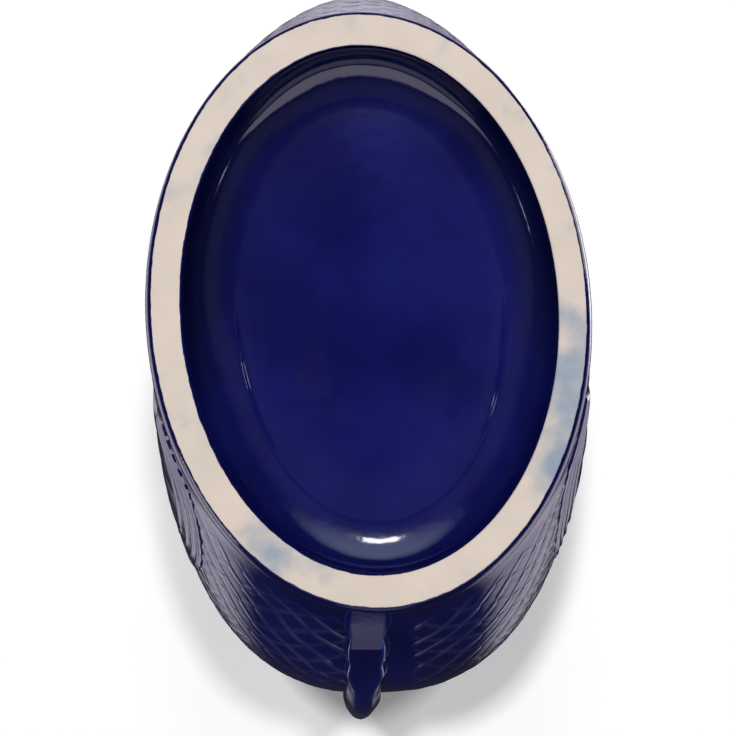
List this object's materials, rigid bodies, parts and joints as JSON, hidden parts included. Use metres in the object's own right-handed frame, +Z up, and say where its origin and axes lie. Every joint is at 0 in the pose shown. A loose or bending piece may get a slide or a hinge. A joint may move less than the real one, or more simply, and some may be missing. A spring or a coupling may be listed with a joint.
{
  "type": "fish-shaped jug",
  "caption": "Glazed pottery jug shaped as an upright hollow fish: its open mouth pours, its hollow tail curls up the back as the handle, and it stands on an oval unglazed foot.",
  "frame": {"origin": "middle of the jug's box on the plane it stands on, under the foot", "axes": "+Z up from the foot to the mouth, -Y toward the belly and the pouring lip, +Y toward the tail handle, X across the fish"},
  "size_m": [0.1133, 0.1888, 0.2395],
  "materials": {
    "cobalt_glaze": "deep cobalt blue gloss glaze over earthenware",
    "bare_clay": "unglazed cream earthenware, wiped clean of glaze"
  },
  "bodies": {
    "root": {"body_shell": "cobalt_glaze", "base_panel": "cobalt_glaze", "mouth_lip": "cobalt_glaze", "tail_handle": "cobalt_glaze", "tail_lobe_left": "cobalt_glaze", "tail_lobe_right": "cobalt_glaze", "pectoral_fin_left": "cobalt_glaze", "pectoral_fin_right": "cobalt_glaze", "gill_cover_left": "cobalt_glaze", "gill_cover_right": "cobalt_glaze", "eye_left": "cobalt_glaze", "eye_right": "cobalt_glaze", "foot_ring": "bare_clay"}
  },
  "joints": []
}
